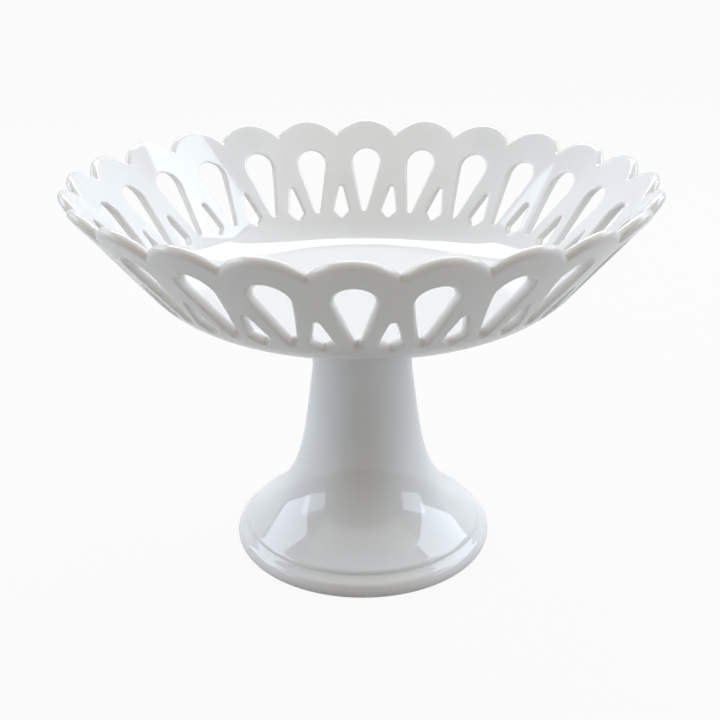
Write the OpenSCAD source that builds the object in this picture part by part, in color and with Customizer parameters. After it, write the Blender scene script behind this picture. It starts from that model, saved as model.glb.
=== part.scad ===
// Footed compote bowl with a pierced wall and a lobed rim.
// The pedestal stands on z = 0, the slip ring lutes its top to the base of the bowl.

/* [Bowl] */
// Diameter over the outside of the lobe tips
bowl_d = 279; // [250:1:320]
// Height of the notches between the lobes above the base of the bowl
notch_h = 56; // [53:0.5:64]
// Slope of the wall, in degrees from level
wall_slope = 50.5; // [47:0.5:56]
// Thickness of the wall
wall_t = 4.8; // [4:0.2:7]
// Thickness of the floor
floor_t = 6; // [5:0.5:8]
// Radius of the bend between base and wall, outside
bend_r = 48; // [36:1:54]
// Radius of the cove between floor and wall, inside
cove_r = 43; // [32:1:48]

/* [Lobed rim] */
// Number of lobes round the rim
lobes = 24; // [20:1:26]
// Rise of a lobe above its notches, along the wall
lobe_rise = 9.3; // [7:0.1:13]
// Depth below the notches where the lobes grow out of the plain wall
lobe_root = 4; // [3:0.5:5]

/* [Teardrop piercings] */
// Height of the plain wall between the notches and the top of a teardrop
tear_gap = 7.2; // [6:0.2:9]
// Width of the round head of a teardrop
tear_w = 15.4; // [12:0.2:17]
// Height of a teardrop
tear_h = 32; // [28:0.5:34]
// Width of the rounded point of a teardrop
tear_tip_w = 2; // [1.6:0.1:3]

/* [Kite piercings] */
// Height of the plain wall between a notch and the top of the kite under it
kite_gap = 25; // [23:0.5:26]
// Width of a kite
kite_w = 8.4; // [6:0.2:9.4]
// Height of a kite
kite_h = 16; // [13:0.5:17]
// Width of the rounding at the corners of a kite
kite_corner_w = 2.2; // [1.6:0.1:3]

/* [Pedestal] */
// Height of the pedestal
pedestal_h = 127.5; // [110:0.5:150]
// Diameter of the neck, under the bowl
neck_d = 49.8; // [42:0.2:58]
// Length of the straight neck at the top
neck_l = 32; // [24:1:40]
// Wall of the hollow pedestal
pedestal_t = 5.5; // [4:0.5:6.5]
// Growth in radius by the slow taper of the stem
stem_taper = 10.5; // [8:0.5:13]

/* [Foot] */
// Diameter of the foot, over its rounded band
foot_d = 131.5; // [120:0.5:146]
// Radius of the rounded band
band_r = 5.2; // [5:0.1:6]
// Height of the widest place of the band above the table
band_h = 4.8; // [4.2:0.1:4.9]
// Height of the shoulder where the trumpet ends above the band
shoulder_h = 13.6; // [13:0.2:14.4]
// Step of the shoulder in from the widest place of the band
shoulder_in = 6.6; // [6:0.2:8]
// Radius of the rolled edge of the shoulder
roll_r = 2.8; // [2.4:0.1:3.2]
// Width of the flat ring that rests on the table
rest_w = 6; // [4:0.5:8]

/* [Slip ring] */
// Thickness of the slip between pedestal and bowl
slip_t = 1.5; // [1:0.1:3]
// Width of the slip fillet round the outside of the neck
slip_out = 3.6; // [2:0.2:6]
// Width of the slip bead inside the neck
slip_in = 2; // [1:0.2:3]

/* [Hidden] */
$fn = 120;
arc_steps = 12;
flare_steps = 28;
flare_power = 4.9;
fillet_sag_share = 0.14;
kite_widest_share = 0.69;
// Sides of a piercing run a little inside the tangents of its round ends
side_share = 0.97;
overrun = wall_t;

base_z = pedestal_h + slip_t;
neck_r = neck_d / 2;
bore_r = neck_r - pedestal_t;

// The line down the middle of the wall passes through the notch level
pitch = 360 / lobes;
along = [cos(wall_slope), sin(wall_slope)];
across = [sin(wall_slope), -cos(wall_slope)];
half_wall = wall_t / 2;
notch_r = bowl_d / 2 - lobe_rise * along.x - half_wall * across.x;
notch_out = [notch_r, notch_h] + half_wall * across;
notch_in = [notch_r, notch_h] - half_wall * across;
wall_run = notch_h * along.x / along.y;
base_corner_r = notch_out.x - notch_out.y * along.x / along.y;
floor_corner_r = notch_in.x - (notch_in.y - floor_t) * along.x / along.y;
turn_share = tan(wall_slope / 2);
bend_c = [base_corner_r - bend_r * turn_share, bend_r];
cove_c = [floor_corner_r - cove_r * turn_share, floor_t + cove_r];

// A lobe is a circle through its tip and the two notches beside it
lobe_chord = notch_r * sin(pitch / 2);
lobe_sag = lobe_rise + notch_r * (1 - cos(pitch / 2)) * along.x;
lobe_r = (lobe_chord * lobe_chord + lobe_sag * lobe_sag) / (2 * lobe_sag);

// The shoulder ends the trumpet, and the band starts in the crease under it
foot_r = foot_d / 2;
band_c = [foot_r - band_r, band_h];
shoulder = [foot_r - shoulder_in, shoulder_h];
rest_r = band_c.x + sqrt(band_r * band_r - band_h * band_h);
trumpet_h = pedestal_h - neck_l - shoulder_h;
flare = shoulder.x - neck_r - stem_taper;
roll_c = shoulder + roll_r * inward(1);
crease = meet(roll_c, roll_r, band_c, band_r);

function arc(c, r, from, to) =
    [for (i = [0:arc_steps]) c + r * [cos(from + (to - from) * i / arc_steps),
                                      sin(from + (to - from) * i / arc_steps)]];

// Outside of the trumpet at the share u of its height, from neck to shoulder
function trumpet(u) = [neck_r + stem_taper * u + flare * pow(u, flare_power),
                       pedestal_h - neck_l - trumpet_h * u];

// Growth of the trumpet's radius at the share u, and the way in from its surface
function growth(u) = stem_taper + flare * flare_power * pow(u, flare_power - 1);
function inward(u) = -[trumpet_h, growth(u)] / norm([trumpet_h, growth(u)]);

// Place where two circles cross, on the side away from the axis
function meet(c, r, d, q) =
    let (run = d - c, l = norm(run), a = (r * r - q * q + l * l) / (2 * l))
    c + run * a / l + [-run.y, run.x] / l * sqrt(r * r - a * a);
function bearing(v) = atan2(v.y, v.x);

// A hollow arc between two points, bulging to the right of the way from a to b
function fillet(a, b) =
    let (d = b - a, c = norm(d), sag = fillet_sag_share * c,
         r = (c * c / 4 + sag * sag) / (2 * sag), side = [d.y, -d.x] / c,
         m = (a + b) / 2 - side * (r - sag), w = asin(c / (2 * r)),
         mid = bearing(side))
    arc(m, r, mid - w, mid + w);

// Places the x, y plane on the wall at notch level, with y up the wall
module on_wall(turn) {
    rotate([0, 0, turn])
        translate([notch_r, 0, base_z + notch_h])
            rotate([0, 90 - wall_slope, 0])
                rotate([90, 0, 90])
                    children();
}

// Places the x, y plane upright at notch level, facing out, for piercings that are cut level
module upright(turn) {
    rotate([0, 0, turn])
        translate([notch_r, 0, base_z + notch_h])
            rotate([90, 0, 90])
                children();
}

module shell() {
    top = lobe_rise + overrun;
    rotate_extrude()
        polygon(concat([[0, 0]],
                       arc(bend_c, bend_r, -90, wall_slope - 90),
                       [notch_out + top * along, notch_in + top * along],
                       arc(cove_c, cove_r, wall_slope - 90, -90),
                       [[0, floor_t]]));
}

module plain_part() {
    outer = notch_out - lobe_root * along + overrun * across;
    inner = notch_in - lobe_root * along - overrun * across;
    rotate_extrude()
        polygon([[0, -overrun], [outer.x, -overrun], outer, inner, [0, inner.y]]);
}

module lobe() {
    translate([0, lobe_rise - lobe_r, 0])
        cylinder(h = wall_t + 2 * overrun, r = lobe_r, center = true);
}

module teardrop() {
    head = tear_w / 2;
    tip = tear_tip_w / 2;
    reach = tear_h - head - tip;
    lean = asin((head - tip) / reach);
    side = side_share * [cos(lean), -sin(lean)];
    other = [-side.x, side.y];
    point = [0, -reach];
    linear_extrude(height = 2 * wall_run, center = true)
        translate([0, -tear_gap - head]) {
            circle(r = head);
            translate(point)
                circle(r = tip);
            polygon([head * side, point + tip * side, point + tip * other, head * other]);
        }
}

module kite() {
    c = kite_corner_w / 2;
    top = [0, -kite_gap - c];
    wide = [kite_w / 2 - c, -kite_gap - kite_h * kite_widest_share];
    low = [0, c - kite_gap - kite_h];
    corners = [top, wide, low, [-wide.x, wide.y]];
    runs = [for (i = [0:3]) corners[(i + 1) % 4] - corners[i]];
    outs = [for (run = runs) side_share * c * [-run.y, run.x] / norm(run)];
    linear_extrude(height = 2 * wall_run, center = true) {
        for (corner = corners)
            translate(corner)
                circle(r = c);
        polygon([for (i = [0:3]) each [corners[i] + outs[(i + 3) % 4], corners[i] + outs[i]]]);
    }
}

module bowl() {
    color([0.93, 0.94, 0.95])
        difference() {
            intersection() {
                translate([0, 0, base_z])
                    shell();
                union() {
                    translate([0, 0, base_z])
                        plain_part();
                    for (i = [0:lobes - 1])
                        on_wall(i * pitch)
                            lobe();
                }
            }
            for (i = [0:lobes - 1]) {
                upright(i * pitch)
                    teardrop();
                upright((i + 0.5) * pitch)
                    kite();
            }
        }
}

module pedestal() {
    outside = [for (i = [0:flare_steps]) trumpet(i / flare_steps)];
    inside = [for (i = [flare_steps:-1:0])
                 trumpet(i / flare_steps) + pedestal_t * inward(i / flare_steps)];
    color([0.93, 0.94, 0.95])
        rotate_extrude()
            polygon(concat([[neck_r, pedestal_h]],
                           outside,
                           arc(roll_c, roll_r, bearing(-inward(1)), bearing(crease - roll_c)),
                           arc(band_c, band_r, bearing(crease - band_c), -asin(band_h / band_r)),
                           [[rest_r - rest_w, 0]],
                           inside,
                           [[bore_r, pedestal_h]]));
}

module slip_ring() {
    color([0.90, 0.90, 0.89])
        rotate_extrude()
            polygon(concat(fillet([neck_r + slip_out, base_z], [neck_r, pedestal_h - slip_out]),
                           [[neck_r, pedestal_h], [bore_r, pedestal_h]],
                           fillet([bore_r, pedestal_h - slip_in], [bore_r - slip_in, base_z])));
}

pedestal();
slip_ring();
bowl();
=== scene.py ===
import math
import random

import bpy
from mathutils import Matrix, Vector
from mathutils.geometry import delaunay_2d_cdt


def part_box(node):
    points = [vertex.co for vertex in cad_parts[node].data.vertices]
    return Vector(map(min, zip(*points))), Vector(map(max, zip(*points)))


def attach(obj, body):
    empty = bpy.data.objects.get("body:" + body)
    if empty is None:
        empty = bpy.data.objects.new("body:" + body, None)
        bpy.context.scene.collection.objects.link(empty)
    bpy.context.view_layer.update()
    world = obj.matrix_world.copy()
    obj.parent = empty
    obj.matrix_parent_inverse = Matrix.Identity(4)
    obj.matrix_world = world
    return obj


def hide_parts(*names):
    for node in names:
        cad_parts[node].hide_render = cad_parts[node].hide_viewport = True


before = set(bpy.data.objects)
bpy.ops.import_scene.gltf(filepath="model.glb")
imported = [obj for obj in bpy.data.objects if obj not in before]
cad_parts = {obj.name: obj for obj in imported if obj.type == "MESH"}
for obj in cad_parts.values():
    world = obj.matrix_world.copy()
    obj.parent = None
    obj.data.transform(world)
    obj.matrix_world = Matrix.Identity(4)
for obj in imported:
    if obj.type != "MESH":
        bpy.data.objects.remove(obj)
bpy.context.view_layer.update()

# Pedestal
# A hollow trumpet of pale earthenware, slip-cast in a plaster mould and open underneath.
# A crease parts its shoulder from the rounded foot band, and the ring it stands on is wiped bare.
pedestal_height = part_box("pedestal")[1].z
neck_radius = 0.0249
neck_length = 0.032
pedestal_wall = 0.0055
stem_taper = 0.0105
flare_power = 4.9
foot_radius = 0.06575
band_round = 0.0052
band_height = 0.0048
shoulder_height = 0.0136
shoulder_in = 0.0066
shoulder_radius = foot_radius - shoulder_in
shoulder_roll = 0.0028
rest_ring = 0.006
trumpet_height = pedestal_height - neck_length - shoulder_height
trumpet_flare = shoulder_radius - neck_radius - stem_taper


def trumpet(share):
    """Point of the trumpet's outside at a share of its height from the neck, and the way into the clay."""
    radius = neck_radius + stem_taper * share + trumpet_flare * share**flare_power
    growth = stem_taper + trumpet_flare * flare_power * share ** (flare_power - 1)
    point = Vector((radius, pedestal_height - neck_length - trumpet_height * share))
    return point, -Vector((trumpet_height, growth)).normalized()


def arc(centre, radius, start, end, steps=24):
    """Points of an arc between two angles in degrees."""
    angles = [math.radians(start + (end - start) * i / steps) for i in range(steps + 1)]
    return [centre + radius * Vector((math.cos(a), math.sin(a))) for a in angles]


def softened(outline, spacing, passes):
    """A closed outline in even steps, with its corners rounded as glaze rounds them."""
    ring = outline + outline[:1]
    walk = []
    for a, b in zip(ring, ring[1:]):
        steps = max(1, round((b - a).length / spacing))
        walk += [a.lerp(b, i / steps) for i in range(steps)]
    for _ in range(passes):
        walk = [
            (walk[i - 1] + 2 * p + walk[(i + 1) % len(walk)]) / 4 for i, p in enumerate(walk)
        ]
    return walk


def made(name, places, faces):
    """A smooth piece from its points and faces."""
    mesh = bpy.data.meshes.new(name)
    mesh.from_pydata(places, [], faces)
    mesh.shade_smooth()
    piece = bpy.data.objects.new(name, mesh)
    bpy.context.collection.objects.link(piece)
    return piece


def turned(name, outline, segments=240):
    """A piece of revolution from a closed outline of radius and height."""
    rows = len(outline)
    places = [
        (p.x * math.cos(math.tau * k / segments), p.x * math.sin(math.tau * k / segments), p.y)
        for k in range(segments)
        for p in outline
    ]
    faces = []
    for k in range(segments):
        here, there = k * rows, (k + 1) % segments * rows
        for i in range(rows):
            j = (i + 1) % rows
            faces.append((here + i, there + i, there + j, here + j))
    return made(name, places, faces)


flare_steps = 60
flare = [trumpet(i / flare_steps) for i in range(flare_steps + 1)]
shoulder, inward = flare[-1]
roll_start = math.degrees(math.atan2(-inward.y, -inward.x))
roll_centre = shoulder + shoulder_roll * inward
band_centre = Vector((foot_radius - band_round, band_height))
band_end = -math.degrees(math.asin(band_height / band_round))
rest_outer = band_centre.x + math.sqrt(band_round**2 - band_height**2)
# The roll of the shoulder and the band meet in the crease, at these angles in degrees
crease_on_roll = -4
crease_on_band = 71
pedestal_outline = (
    [Vector((neck_radius, pedestal_height))]
    + [point for point, _ in flare]
    + arc(roll_centre, shoulder_roll, roll_start, crease_on_roll)
    + arc(band_centre, band_round, crease_on_band, band_end)
    + [Vector((rest_outer - rest_ring, 0))]
    + [point + pedestal_wall * into for point, into in reversed(flare)]
    + [Vector((neck_radius - pedestal_wall, pedestal_height))]
)
pedestal = turned("pedestal_trumpet", softened(pedestal_outline, spacing=0.0006, passes=5))


def glaze_group():
    """White glaze for every piece: it warms and darkens by its thinness input, where the glaze runs thin
    and, in the bowl's hole walls, as painted shade; it drifts in tone and ripples softly.
    """
    group = bpy.data.node_groups.new("Glaze coat", "ShaderNodeTree")
    for name in ("Thick Colour", "Thin And Shaded Colour"):
        group.interface.new_socket(name, in_out="INPUT", socket_type="NodeSocketColor")
    for name in ("Thin Glaze And Shade", "Ripple Scale"):
        group.interface.new_socket(name, in_out="INPUT", socket_type="NodeSocketFloat")
    group.interface.new_socket("Colour", in_out="OUTPUT", socket_type="NodeSocketColor")
    for name in ("Roughness", "Height"):
        group.interface.new_socket(name, in_out="OUTPUT", socket_type="NodeSocketFloat")
    new, link = group.nodes.new, group.links.new
    given = new("NodeGroupInput")
    made = new("NodeGroupOutput")
    place = new("ShaderNodeTexCoord")
    drift_share = 0.16
    peel_share = 0.015

    def noise(detail, scale=1):
        node = new("ShaderNodeTexNoise")
        node.inputs["Scale"].default_value = scale
        node.inputs["Detail"].default_value = detail
        link(place.outputs["Object"], node.inputs["Vector"])
        return node

    drift = noise(detail=2, scale=16)
    tone = new("ShaderNodeMath")
    tone.operation = "MULTIPLY_ADD"
    tone.inputs[1].default_value = drift_share
    link(drift.outputs["Fac"], tone.inputs[0])
    link(given.outputs["Thin Glaze And Shade"], tone.inputs[2])
    colour = new("ShaderNodeMix")
    colour.data_type = "RGBA"
    link(tone.outputs[0], colour.inputs["Factor"])
    link(given.outputs["Thick Colour"], colour.inputs["A"])
    link(given.outputs["Thin And Shaded Colour"], colour.inputs["B"])
    link(colour.outputs["Result"], made.inputs["Colour"])

    smear = noise(detail=3, scale=38)
    gloss = new("ShaderNodeMapRange")
    gloss.inputs["From Min"].default_value = 0.35
    gloss.inputs["From Max"].default_value = 0.7
    gloss.inputs["To Min"].default_value = 0.03
    gloss.inputs["To Max"].default_value = 0.07
    link(smear.outputs["Fac"], gloss.inputs["Value"])
    link(gloss.outputs["Result"], made.inputs["Roughness"])

    ripple = noise(detail=0)
    link(given.outputs["Ripple Scale"], ripple.inputs["Scale"])
    peel = noise(detail=1, scale=420)
    height = new("ShaderNodeMath")
    height.operation = "MULTIPLY_ADD"
    height.inputs[1].default_value = peel_share
    link(peel.outputs["Fac"], height.inputs[0])
    link(ripple.outputs["Fac"], height.inputs[2])
    link(height.outputs[0], made.inputs["Height"])
    return group


glaze_coat = glaze_group()


def glazed(name, thick, thin_and_shade, ripple_scale, ripple_depth):
    """A glossy glaze material, with its shader and its glaze coat for further wiring."""
    material = bpy.data.materials.new(name)
    material.use_nodes = True
    tree = material.node_tree
    shader = tree.nodes["Principled BSDF"]
    shader.inputs["IOR"].default_value = 1.54
    shader.inputs["Subsurface Weight"].default_value = 0.6
    shader.inputs["Subsurface Radius"].default_value = (1.0, 0.95, 0.9)
    shader.inputs["Subsurface Scale"].default_value = 0.004
    coat = tree.nodes.new("ShaderNodeGroup")
    coat.node_tree = glaze_coat
    coat.inputs["Thick Colour"].default_value = (*thick, 1)
    coat.inputs["Thin And Shaded Colour"].default_value = (*thin_and_shade, 1)
    coat.inputs["Ripple Scale"].default_value = ripple_scale
    bump = tree.nodes.new("ShaderNodeBump")
    bump.inputs["Distance"].default_value = ripple_depth
    tree.links.new(coat.outputs["Colour"], shader.inputs["Base Color"])
    tree.links.new(coat.outputs["Roughness"], shader.inputs["Roughness"])
    tree.links.new(coat.outputs["Height"], bump.inputs["Height"])
    tree.links.new(bump.outputs["Normal"], shader.inputs["Normal"])
    return material, shader, coat


white = (0.84, 0.845, 0.85)
# The warm white is the tone the glaze drifts to at random, and on the bowl the tint of thin glaze on edges
# and of painted shade in the hole walls
warm_white = (0.78, 0.755, 0.71)
bare_clay = (0.66, 0.56, 0.45)
bare_height = 0.0008
bare_rough = 0.8
pedestal_glaze, shader, coat = glazed(
    "Pedestal glaze", white, warm_white, ripple_scale=34, ripple_depth=0.0003
)
nodes, link = pedestal_glaze.node_tree.nodes, pedestal_glaze.node_tree.links.new
place = nodes.new("ShaderNodeTexCoord")
apart = nodes.new("ShaderNodeSeparateXYZ")
link(place.outputs["Object"], apart.inputs[0])
wiped = nodes.new("ShaderNodeMapRange")
wiped.inputs["From Min"].default_value = bare_height
wiped.inputs["From Max"].default_value = bare_height / 2
link(apart.outputs["Z"], wiped.inputs["Value"])
clay_colour = nodes.new("ShaderNodeMix")
clay_colour.data_type = "RGBA"
clay_colour.inputs["B"].default_value = (*bare_clay, 1)
link(wiped.outputs["Result"], clay_colour.inputs["Factor"])
link(coat.outputs["Colour"], clay_colour.inputs["A"])
link(clay_colour.outputs["Result"], shader.inputs["Base Color"])
clay_rough = nodes.new("ShaderNodeMix")
clay_rough.inputs["B"].default_value = bare_rough
link(wiped.outputs["Result"], clay_rough.inputs["Factor"])
link(coat.outputs["Roughness"], clay_rough.inputs["A"])
link(clay_rough.outputs["Result"], shader.inputs["Roughness"])
pedestal.data.materials.append(pedestal_glaze)
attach(pedestal, "root")
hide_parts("pedestal")

# Slip ring
# The slip that lutes the pedestal to the bowl, squeezed out when the two were pressed together.
# It was sponged to a fillet outside, left as a bead inside, and glazed over with the rest.
slip_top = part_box("bowl")[0].z
fillet_round = 0.0046
bead_reach = 0.002
bead_round = 0.0025
bead_end = 78
bore_radius = neck_radius - pedestal_wall
fillet_centre = Vector((neck_radius + fillet_round, pedestal_height - fillet_round))
fillet = arc(fillet_centre, fillet_round, 90, 180)
bead_centre = Vector((bore_radius - bead_round, pedestal_height - bead_reach))
bead = arc(bead_centre, bead_round, 0, bead_end)
slip_outline = (
    [Vector((neck_radius + fillet_round, slip_top))]
    + fillet
    + [Vector((neck_radius, pedestal_height)), Vector((bore_radius, pedestal_height))]
    + bead
    + [Vector((bore_radius - bead_reach, slip_top))]
)
slip = turned("slip_fillet", softened(slip_outline, spacing=0.0003, passes=2))
slip_white = (0.83, 0.83, 0.825)
slip_glaze, _, _ = glazed(
    "Slip glaze", slip_white, warm_white, ripple_scale=90, ripple_depth=0.0004
)
slip.data.materials.append(slip_glaze)
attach(slip, "root")
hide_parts("slip_ring")

# Bowl
# One pressed earthenware dish: flat floor, cove, and a sloping wall that rises into round lobes.
# Teardrops and small kites were cut through the wall by hand while the clay was leather hard.
bowl_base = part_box("bowl")[0].z
lobes = 24
wall = 0.0048
floor_thick = 0.006
slope = math.radians(50.5)
lobe_rise = 0.0093
notch_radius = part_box("bowl")[1].x - lobe_rise * math.cos(slope) - wall / 2 * math.sin(slope)
notch_rise = 0.056
notch_height = bowl_base + notch_rise
bend_outside = 0.048
bend_middle = bend_outside - wall / 2
bend_height = bowl_base + bend_outside
pitch = math.tau / lobes
bend_start = (bend_height - bend_middle * math.cos(slope) - notch_height) / math.sin(slope)
bend_radius = notch_radius + bend_start * math.cos(slope) - bend_middle * math.sin(slope)
floor_start = bend_start - bend_middle * slope
centre = floor_start - bend_radius
# The wall is pierced down to here, and an apron of flat wall joins each rolled edge to the rest
pierced_end = -0.063
apron = 0.0003

# The skin as it grows: points, the way each faces, its share of warm tint for thin glaze and for painted
# shade in the hole walls, its place on the wall, the number of each point by its place, and the faces
# between them
places = []
facings = []
thinness_and_shade = []
spots = []
known = {}
clay_faces = []


def wall_radius(up):
    """Radius of the middle of the straight wall, up along it from the notches."""
    return notch_radius + up * math.cos(slope)


def lean_at(up):
    """Slope of the wall, cove or floor at a distance up along it from the notches."""
    return min(slope, max(0.0, slope - (bend_start - up) / bend_middle))


def inner_half(up):
    """Clay from the middle of the wall to its inside, thicker towards the floor."""
    return wall / 2 + (floor_thick - wall) * (1 - lean_at(up) / slope)


def clay(turn, up, out, facing, thin_and_shade=0.0):
    """A point of the bowl's skin: its turn round the axis, its way up the wall and out from mid-wall.
    facing is the surface's direction in parts across, up and out of the wall."""
    lean = lean_at(up)
    if up >= bend_start:
        radius = wall_radius(up) + out * math.sin(slope)
        height = notch_height + up * math.sin(slope) - out * math.cos(slope)
    else:
        radius = bend_radius + (bend_middle + out) * math.sin(lean) - max(0.0, floor_start - up)
        height = bend_height - (bend_middle + out) * math.cos(lean)
    ray = Vector((math.cos(turn), math.sin(turn), 0))
    across = Vector((-ray.y, ray.x, 0))
    along = ray * math.cos(lean) + Vector((0, 0, math.sin(lean)))
    outward = ray * math.sin(lean) - Vector((0, 0, math.cos(lean)))
    place = ray * radius + Vector((0, 0, height))
    # Places that agree to a ten-millionth of a metre are one point
    key = tuple(round(c, 7) for c in place)
    if key not in known:
        known[key] = len(places)
        places.append(place)
        facings.append(across * facing[0] + along * facing[1] + outward * facing[2])
        thinness_and_shade.append(thin_and_shade)
        spots.append((turn, up))
    return known[key]


def skin(*corners):
    """A face of the bowl, turned to face the way its corners do."""
    corners = list(dict.fromkeys(corners))
    if len(corners) < 3:
        return
    a, b, c = (places[i] for i in corners[:3])
    way = sum((facings[i] for i in corners), Vector())
    clay_faces.append(corners if (b - a).cross(c - a).dot(way) > 0 else corners[::-1])


def rounded(circles, step):
    """Outline round a ring of circles, as points with the way out, for circles in anticlockwise order."""
    count = len(circles)
    ways = []
    for i in range(count):
        (c, r), (d, q) = circles[i], circles[(i + 1) % count]
        run = d - c
        ways.append(math.atan2(run.y, run.x) - math.acos((r - q) / run.length))
    outline = []
    for i in range(count):
        (c, r), (d, q) = circles[i], circles[(i + 1) % count]
        start, end = ways[i - 1], ways[i]
        while end < start:
            end += math.tau
        bends = max(3, math.ceil((end - start) * r / step))
        for k in range(bends + 1):
            angle = start + (end - start) * k / bends
            way = Vector((math.cos(angle), math.sin(angle)))
            outline.append((c + r * way, way))
        way = outline[-1][1]
        runs = math.ceil((d - c).length / step)
        for k in range(1, runs):
            outline.append(((c + r * way).lerp(d + q * way, k / runs), way))
    return outline


def turned_by(outline, pivot, angle, shift):
    """The outline, turned about a pivot and shifted, as a hand that cuts freely leaves it."""
    turn = Matrix.Rotation(angle, 2)
    return [(pivot + shift + turn @ (p - pivot), turn @ way) for p, way in outline]


def opened(outline, within, without, swell):
    """The outline of a cut on the outside of the wall, from its outline inside: a cut opens outwards.
    within and without give the width, the top and the height of the cut on either side.
    swell fills out the sides below the head, where the sponge has worn them."""
    wide, high = without[0] / within[0], without[2] / within[2]
    cut = []
    for p, way in outline:
        share = (within[1] - p.y) / within[2]
        fuller = swell * way.x * min(1, 2 * share)
        cut.append((Vector((p.x * wide + fuller, without[1] - share * within[2] * high)), way))
    return cut


def rolled_edge(edge, lip, thin_glaze_and_shade):
    """Rounds the clay over a closed edge, from outside to inside, and gives its outermost rows.
    edge lists turn, place at mid-wall, the way into the clay, the drift of the cut for its way outwards,
    and how far in the roundings reach, outside and inside, which meet at the lip, out from mid-wall."""
    outside, inside = [], []
    bends = 7
    thin_and_shade_start = 0.25
    for face, (side, rows) in enumerate(((1, outside), (-1, inside))):
        for k in range(bends + 2):
            angle = math.pi / 2 * (1 - max(0, k - 1) / bends)
            rise, steep = math.sin(angle), math.cos(angle)
            # The warm, darker tint grows towards the lip: glaze running thin on every edge, and on the
            # holes painted shade inside the cut
            thin_and_shade = thin_glaze_and_shade * (thin_and_shade_start + (1 - thin_and_shade_start) * steep) if k else 0.0
            row = []
            for turn, place, into, drift, rolls in edge:
                depth = rolls[face] * (1 - steep) + (0 if k else apron)
                half = wall / 2 - lip if side > 0 else inner_half(place.y) + lip
                out = lip + side * half * rise
                x, y = place + depth * into + out * drift
                tip = steep * half / rolls[face]
                facing = (-into.x * tip, -into.y * tip, side * rise + drift.dot(into) * tip)
                row.append(clay(turn + x / wall_radius(y), y, out, facing, thin_and_shade))
            rows.append(row)
    strip = outside + inside[::-1]
    for above, below in zip(strip, strip[1:]):
        for i in range(len(edge)):
            j = (i + 1) % len(edge)
            skin(above[i], above[j], below[j], below[i])
    return outside[0], inside[0]


# Width, top and height of each cut along the wall, inside it and outside it
tear_within = (0.0152, -0.0116, 0.0374)
tear_without = (0.0170, -0.0054, 0.0458)
tear_swell = 0.0013
tear_tip = 0.002
kite_within = (0.0080, -0.0340, 0.0186)
kite_without = (0.0094, -0.0302, 0.0228)
kite_swell = 0.0005
kite_corner = 0.0022
kite_widest = 0.75
# The hand leaned the knife one way, by degrees more or less each time, and set it down by eye
hand = random.Random(24)
hand_lean = 1.8
hand_sway = 1.0
hand_aside = 0.0003
hand_upward = 0.0004
# On the edge of a hole the two roundings meet at the lip, out from mid-wall, and reach in this far
hole_lip = -0.0006
hole_rolls = (0.0008, 0.0016)
hole_top_roll = 0.0024
# The walls of the holes take a warmer, darker tint: thin glaze, and painted shade inside the cuts
hole_glaze_and_shade = 0.3
step = 0.0012

head, tip, corner = tear_within[0] / 2, tear_tip / 2, kite_corner / 2
tear_top = Vector((0, tear_within[1] - head))
tear_point = Vector((0, tear_within[1] - tear_within[2] + tip))
kite_top = Vector((0, kite_within[1] - corner))
kite_side = Vector((kite_within[0] / 2 - corner, kite_within[1] - kite_within[2] * kite_widest))
kite_low = Vector((0, kite_within[1] - kite_within[2] + corner))
kite_left = Vector((-kite_side.x, kite_side.y))
tear = rounded([(tear_top, head), (tear_point, tip)], step)
kite = rounded([(kite_top, corner), (kite_left, corner), (kite_low, corner), (kite_side, corner)], step)

# Rows of points where the plain wall starts, and the outline of each hole, outside and inside
loops = []
holes = ([], [])
for i in range(2 * lobes):
    outline, within, without, swell = (
        (tear, tear_within, tear_without, tear_swell),
        (kite, kite_within, kite_without, kite_swell),
    )[i % 2]
    turn = i * pitch / 2
    pivot = Vector((0, within[1] - within[2] / 2))
    angle = math.radians(hand_lean + hand.uniform(-hand_sway, hand_sway))
    shift_aside = hand.uniform(-hand_aside, hand_aside)
    shift = Vector((shift_aside, hand.uniform(-hand_upward, hand_upward)))
    inner = turned_by(outline, pivot, angle, shift)
    outer = turned_by(opened(outline, within, without, swell), pivot, angle, shift)
    # Half of the sideways widening is the knife's, and the rest is rounded off by the sponge
    halfway = ((within[0] + without[0]) / 2, *without[1:])
    knife = turned_by(opened(outline, within, halfway, swell / 2), pivot, angle, shift)
    holes[0].append((turn, outer))
    holes[1].append((turn, inner))
    edge = []
    for (p, way), (q, _), (cut, _) in zip(inner, outer, knife):
        outer_roll = hole_rolls[0] + max(0, (q - cut).dot(way))
        inner_roll = hole_rolls[1] + (hole_top_roll - hole_rolls[1]) * max(0, way.y)
        edge.append((turn, (p + cut) / 2, way, (cut - p) / wall, (outer_roll, inner_roll)))
    loops.append(rolled_edge(edge, hole_lip, hole_glaze_and_shade))

# The rim runs over each lobe and dips round the notch after it
rim = []
half_chord = wall_radius(0) * pitch / 2
rim_roll = 0.0026
rim_glaze = 0.35
rim_sway = 0.0003
notch_bends = 10
square_cut = Vector((0, 0))
for i in range(lobes):
    rise = lobe_rise + hand.uniform(-rim_sway, rim_sway)
    lobe_round = (half_chord**2 + rise**2) / (2 * rise)
    sweep = math.asin(half_chord / lobe_round)
    middle = Vector((0, rise - lobe_round))
    bends = math.ceil(2 * sweep * lobe_round / step)
    for k in range(bends + 1):
        angle = math.pi / 2 + sweep - 2 * sweep * k / bends
        way = Vector((math.cos(angle), math.sin(angle)))
        p = middle + lobe_round * way
        rim.append((i * pitch, p, -way, square_cut, (rim_roll, rim_roll)))
    for k in range(1, notch_bends):
        angle = -math.pi / 2 + sweep * (2 * k / notch_bends - 1)
        way = Vector((math.cos(angle), math.sin(angle)))
        rim.append((i * pitch, Vector((half_chord, 0)), way, square_cut, (rim_roll, rim_roll)))
loops.append(rolled_edge(rim, 0, rim_glaze))

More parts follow.
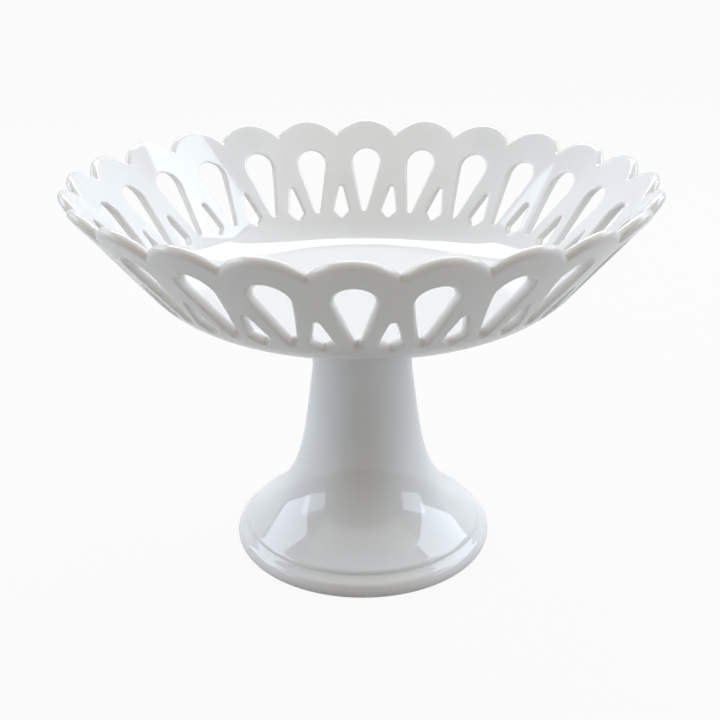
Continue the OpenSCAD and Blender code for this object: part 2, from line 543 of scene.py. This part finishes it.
# Outside and inside, the plain wall between the rolled edges is filled with even triangles
spread = 0.0026
triangle_rise = 0.87
row_step = spread * triangle_rise
same_place = 1e-9
steps_per_lobe = 12
rounds = lobes * steps_per_lobe


def plain_ring(up):
    """Pairs of points, outside and inside, all round the dish where it has no holes."""
    ring = []
    for k in range(rounds):
        turn = math.tau * k / rounds
        outside = clay(turn, up, wall / 2, (0, 0, 1))
        ring.append((outside, clay(turn, up, -inner_half(up), (0, 0, -1))))
    return ring


bottom = plain_ring(pierced_end)
loops.append(([a for a, _ in bottom], [b for _, b in bottom]))


def laid_flat(turn, up):
    """A place on the wall, on the ring that the wall makes when it is laid flat."""
    return Vector((math.cos(turn), math.sin(turn))) * (notch_radius + up)


def clear_of_edges(turn, up, face, room):
    """True where the outside, face 0, or the inside, face 1, is plain for some room all round."""
    across = ((turn + pitch / 2) % pitch - pitch / 2) * wall_radius(up)
    lobe_round = (half_chord**2 + lobe_rise**2) / (2 * lobe_rise)
    rim_room = rim_roll + apron + room
    if up > -rim_room and math.hypot(abs(across) - half_chord, up) < rim_room:
        return False
    if math.hypot(across, up - lobe_rise + lobe_round) > lobe_round - rim_room and up > -rim_room:
        return False
    for hole_turn, cut in holes[face]:
        off = (turn - hole_turn + math.pi) % math.tau - math.pi
        if abs(off) < pitch:
            p = Vector((off * wall_radius(up), up))
            if max((p - q).dot(way) for q, way in cut) < hole_top_roll + apron + room:
                return False
    return True


for face, side in enumerate((1, -1)):
    flat, corners, edges, owner = [], [], [], []
    for number, loop in enumerate(loops):
        first, count = len(flat), len(loop[face])
        flat += [laid_flat(*spots[corner]) for corner in loop[face]]
        corners += loop[face]
        owner += [number] * count
        edges += [(first + k, first + (k + 1) % count) for k in range(count)]
    up = lobe_rise
    row = 0
    while up > pierced_end + spread:
        columns = round(math.tau * wall_radius(up) / spread / lobes) * lobes
        for k in range(columns):
            turn = math.tau * (k + row % 2 / 2) / columns
            if clear_of_edges(turn, up, face, spread / 2):
                flat.append(laid_flat(turn, up))
                half = wall / 2 if side > 0 else inner_half(up)
                corners.append(clay(turn, up, side * half, (0, 0, side)))
                owner.append(None)
        up -= row_step
        row += 1
    _, _, triangles, origins, _, _ = delaunay_2d_cdt(flat, edges, [], 1, same_place)
    rim_number = len(loops) - 2
    # A triangle with all its corners on one hole or on the bottom ring would close it, so it is left out
    for triangle in triangles:
        picked = [origins[k][0] for k in triangle]
        owners = {owner[k] for k in picked}
        if len(owners) > 1 or not owners.isdisjoint({None, rim_number}):
            skin(*(corners[k] for k in picked))

# Below the piercings the dish is plain: cove, floor and base, in rows down to the centre
cove_rows = 26
floor_rows = 16
downs = [pierced_end + (floor_start - pierced_end) * k / cove_rows for k in range(1, cove_rows + 1)]
downs += [floor_start + (centre - floor_start) * k / floor_rows for k in range(1, floor_rows + 1)]
above = bottom
for down in downs:
    below = plain_ring(down)
    for k in range(rounds):
        j = (k + 1) % rounds
        for face in (0, 1):
            skin(above[k][face], above[j][face], below[j][face], below[k][face])
    above = below

bowl = made("bowl_pierced", places, clay_faces)
bowl.data.normals_split_custom_set_from_vertices([f.normalized() for f in facings])
# Per point, the share of warm tint: thin glaze on the edges, and painted shade in the walls of the holes
thin_and_shade_layer = bowl.data.attributes.new("thin_glaze_and_shade", "FLOAT", "POINT")
thin_and_shade_layer.data.foreach_set("value", thinness_and_shade)

bowl_glaze, _, coat = glazed(
    "Bowl glaze", white, warm_white, ripple_scale=30, ripple_depth=0.0003
)
nodes, link = bowl_glaze.node_tree.nodes, bowl_glaze.node_tree.links.new
thin_and_shaded_edges = nodes.new("ShaderNodeAttribute")
thin_and_shaded_edges.attribute_name = "thin_glaze_and_shade"
link(thin_and_shaded_edges.outputs["Fac"], coat.inputs["Thin Glaze And Shade"])
bowl.data.materials.append(bowl_glaze)
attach(bowl, "root")
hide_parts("bowl")

# Stage
# A pale table top that sweeps up into a backdrop, so that the object stands in plain white.
# It shows near white to the camera, half white in the glaze, and keeps a faint shadow of the foot.
sweep_width = 6.0
sweep_front = -3.0
sweep_back = 2.0
sweep_bend = 0.8
sweep_top = 2.0
sweep_line = [(sweep_front, 0.0), (sweep_back - sweep_bend, 0.0)]
sweep_line += [
    (
        sweep_back - sweep_bend + sweep_bend * math.sin(math.radians(a)),
        sweep_bend - sweep_bend * math.cos(math.radians(a)),
    )
    for a in range(6, 91, 6)
]
sweep_line += [(sweep_back, sweep_top)]
places = [(x, y, z) for y, z in sweep_line for x in (-sweep_width / 2, sweep_width / 2)]
faces = [(2 * i, 2 * i + 1, 2 * i + 3, 2 * i + 2) for i in range(len(sweep_line) - 1)]
sweep = made("table_sweep", places, faces)

paper = bpy.data.materials.new("White paper")
paper.use_nodes = True
nodes, link = paper.node_tree.nodes, paper.node_tree.links.new
shader = nodes["Principled BSDF"]
shader.inputs["Base Color"].default_value = (0.44, 0.43, 0.42, 1)
shader.inputs["Roughness"].default_value = 0.9
seen = nodes.new("ShaderNodeLightPath")
camera_white = 0.93
mirror_white = 0.5
share = nodes.new("ShaderNodeMath")
share.operation = "MAXIMUM"
for slot, ray, white_share in ((0, "Is Camera Ray", camera_white), (1, "Is Glossy Ray", mirror_white)):
    part = nodes.new("ShaderNodeMath")
    part.operation = "MULTIPLY"
    part.inputs[1].default_value = white_share
    link(seen.outputs[ray], part.inputs[0])
    link(part.outputs[0], share.inputs[slot])
glow = nodes.new("ShaderNodeEmission")
glow.inputs["Strength"].default_value = 1.0
mixed = nodes.new("ShaderNodeMixShader")
link(share.outputs[0], mixed.inputs["Fac"])
link(shader.outputs[0], mixed.inputs[1])
link(glow.outputs[0], mixed.inputs[2])
link(mixed.outputs[0], nodes["Material Output"].inputs["Surface"])
sweep.data.materials.append(paper)

# Light
# Soft cool windows left, right and behind, a warmer ceiling, and the glow of pale walls on either side.
# The rest of the room is dim and a little warm, and shows white to the camera.
aim = Vector((0, 0, 0.12))


def window(name, place, width, height, power, colour):
    """A rectangular soft light, facing the object."""
    lamp = bpy.data.lights.new(name, "AREA")
    lamp.shape = "RECTANGLE"
    lamp.size, lamp.size_y = width, height
    lamp.energy = power
    lamp.color = colour
    holder = bpy.data.objects.new(name, lamp)
    holder.location = place
    holder.rotation_euler = (aim - Vector(place)).to_track_quat("-Z", "Y").to_euler()
    bpy.context.collection.objects.link(holder)


# Place, width, height, power in watts and colour of each
window("window_left", (-1.32, 0.26, 0.80), 0.92, 0.95, 9.9, (0.75, 0.87, 1.0))
window("wall_left", (-1.6, -0.42, 0.62), 1.0, 0.5, 4.4, (0.76, 0.88, 1.0))
window("wall_right", (1.6, -0.32, 0.62), 0.9, 0.5, 4.4, (0.78, 0.89, 1.0))
window("window_right", (1.29, 0.41, 1.08), 1.05, 1.1, 15.2, (0.77, 0.89, 1.0))
window("window_back", (0.0, 0.98, 1.18), 1.3, 0.4, 13, (0.88, 0.94, 1.0))
window("ceiling", (0.0, -0.95, 2.2), 4.2, 1.5, 16, (1.0, 0.93, 0.84))
world = bpy.data.worlds.new("Room")
world.use_nodes = True
nodes, link = world.node_tree.nodes, world.node_tree.links.new
dim_room = nodes["Background"]
dim_room.inputs["Color"].default_value = (0.185, 0.15, 0.115, 1)
white_room = nodes.new("ShaderNodeBackground")
white_room.inputs["Color"].default_value = (0.95, 0.95, 0.95, 1)
seen = nodes.new("ShaderNodeLightPath")
mixed = nodes.new("ShaderNodeMixShader")
link(seen.outputs["Is Camera Ray"], mixed.inputs["Fac"])
link(dim_room.outputs[0], mixed.inputs[1])
link(white_room.outputs[0], mixed.inputs[2])
link(mixed.outputs[0], nodes["World Output"].inputs["Surface"])
bpy.context.scene.world = world

# Camera
# A little above the rim, looking down into the bowl, as the photograph was taken.
# Its distance and height are multiples of the radius at the notches.
photo_width = 720
focal_pixels = 1118
look_down = math.radians(22.48)
look_left = math.radians(0.1)
roll = math.radians(-0.34)
turned_right = math.radians(1.3)
back = 3.92 * notch_radius
raised = 0.962 * notch_radius
aside = -0.002 * notch_radius
camera = bpy.data.cameras.new("photo_camera")
camera.sensor_width = 36
camera.lens = focal_pixels / photo_width * camera.sensor_width
view = bpy.data.objects.new("photo_camera", camera)
bpy.context.collection.objects.link(view)
around = Matrix.Rotation(turned_right, 4, "Z")
stand = around @ Vector((aside, -back, notch_height + raised))
aimed = Matrix.Rotation(look_left, 4, "Z") @ Matrix.Rotation(math.pi / 2 - look_down, 4, "X")
facing = around @ aimed @ Matrix.Rotation(roll, 4, "Z")
view.matrix_world = Matrix.Translation(stand) @ facing
bpy.context.scene.camera = view
bpy.context.scene.view_settings.view_transform = "Standard"
